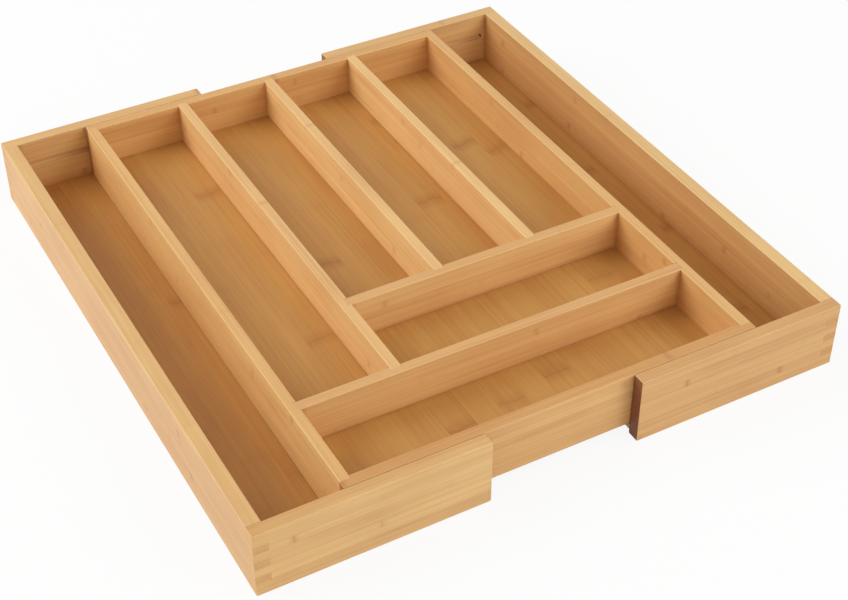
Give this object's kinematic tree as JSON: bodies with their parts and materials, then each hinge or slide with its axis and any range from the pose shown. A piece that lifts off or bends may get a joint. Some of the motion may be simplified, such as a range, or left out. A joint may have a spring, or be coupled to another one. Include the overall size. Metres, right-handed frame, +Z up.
{
  "type": "expandable cutlery tray",
  "caption": "Bamboo drawer tray whose two side wings slide out from under a divided middle tray, with long and crosswise open compartments.",
  "frame": {"origin": "on the ground, under the middle of the tray with both wings pulled out", "axes": "+X to the right along the wings' travel, +Y from the front to the back, +Z up"},
  "size_m": [0.4226, 0.45, 0.05],
  "materials": {
    "bamboo_board": "satin lacquered bamboo, grain along the board",
    "bamboo_divider": "satin lacquered bamboo, grain along the board",
    "bamboo_floor": "satin lacquered bamboo panel, darker than the boards",
    "bamboo_pin": "plain bamboo dowel"
  },
  "bodies": {
    "middle_tray": {"middle_front_wall": "bamboo_board", "middle_back_wall": "bamboo_board", "middle_left_wall": "bamboo_board", "middle_right_wall": "bamboo_board", "middle_floor_panel": "bamboo_floor", "front_cross_divider": "bamboo_divider", "rear_cross_divider": "bamboo_divider", "long_divider": "bamboo_divider", "left_short_divider": "bamboo_divider", "right_short_divider": "bamboo_divider", "front_left_guide_pin": "bamboo_pin", "front_right_guide_pin": "bamboo_pin", "back_left_guide_pin": "bamboo_pin", "back_right_guide_pin": "bamboo_pin"},
    "left_wing": {"left_wing_side_board": "bamboo_board", "left_wing_front_board": "bamboo_board", "left_wing_back_board": "bamboo_board", "left_wing_floor_panel": "bamboo_floor"},
    "right_wing": {"right_wing_side_board": "bamboo_board", "right_wing_front_board": "bamboo_board", "right_wing_back_board": "bamboo_board", "right_wing_floor_panel": "bamboo_floor"}
  },
  "joints": [
    {"name": "left_wing_slide", "type": "slide", "parent": "middle_tray", "child": "left_wing", "axis": [-1, 0, 0], "range_m": [-0.052, 0]},
    {"name": "right_wing_slide", "type": "slide", "parent": "middle_tray", "child": "right_wing", "axis": [1, 0, 0], "range_m": [-0.052, 0]}
  ]
}
